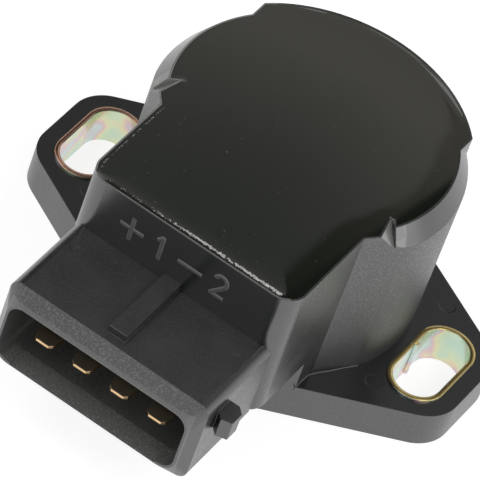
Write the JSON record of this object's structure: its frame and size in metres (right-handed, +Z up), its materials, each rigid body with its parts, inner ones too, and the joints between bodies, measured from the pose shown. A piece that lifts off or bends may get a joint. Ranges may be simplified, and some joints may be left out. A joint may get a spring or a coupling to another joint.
{
  "type": "throttle position sensor",
  "caption": "Black moulded rotary position sensor with a two-eared flange with bushed slots, a D-shaped resin-sealed body, a sprung inner rotor and a wide plug socket with flat pins.",
  "frame": {"origin": "the rotor's axis at the flange's underside, in the mouth of the pilot recess", "axes": "+Z up along the rotor's axis, away from the throttle body; +X along the ears; the plug socket points to -Y"},
  "size_m": [0.0572, 0.0593, 0.0262],
  "materials": {
    "housing_plastic": "moulded, satin with spark-eroded areas",
    "resin": "cast, glossy",
    "board": "coated laminate",
    "pin_metal": "plated",
    "bush_steel": "zinc plated and yellow passivated",
    "rotor_plastic": "moulded",
    "spring_steel": "bright",
    "bearing_metal": "sintered",
    "seal_rubber": "matte"
  },
  "bodies": {
    "stator": {"housing": "housing_plastic", "potting": "resin", "inner_cover": "housing_plastic", "resistor_board": "board", "terminal_plus": "pin_metal", "terminal_1": "pin_metal", "terminal_minus": "pin_metal", "terminal_2": "pin_metal", "bond_leads": "spring_steel", "left_bush": "bush_steel", "right_bush": "bush_steel", "return_spring": "spring_steel", "bearing_bush": "bearing_metal", "shaft_seal": "seal_rubber", "seal_retainer": "spring_steel", "flange_seal": "seal_rubber", "thrust_washer": "spring_steel"},
    "rotor": {"rotor": "rotor_plastic", "drive_clip": "spring_steel", "wiper_inner": "bearing_metal", "wiper_outer": "bearing_metal"}
  },
  "joints": [
    {"name": "rotor_turn", "type": "hinge", "parent": "stator", "child": "rotor", "pos_m": [0, 0, 0.007], "axis": [0, 0, 1], "range_deg": [0, 100], "stiffness_Nm_per_rad": 0.008, "springref_deg": -85.94, "deforming": ["return_spring"]}
  ]
}
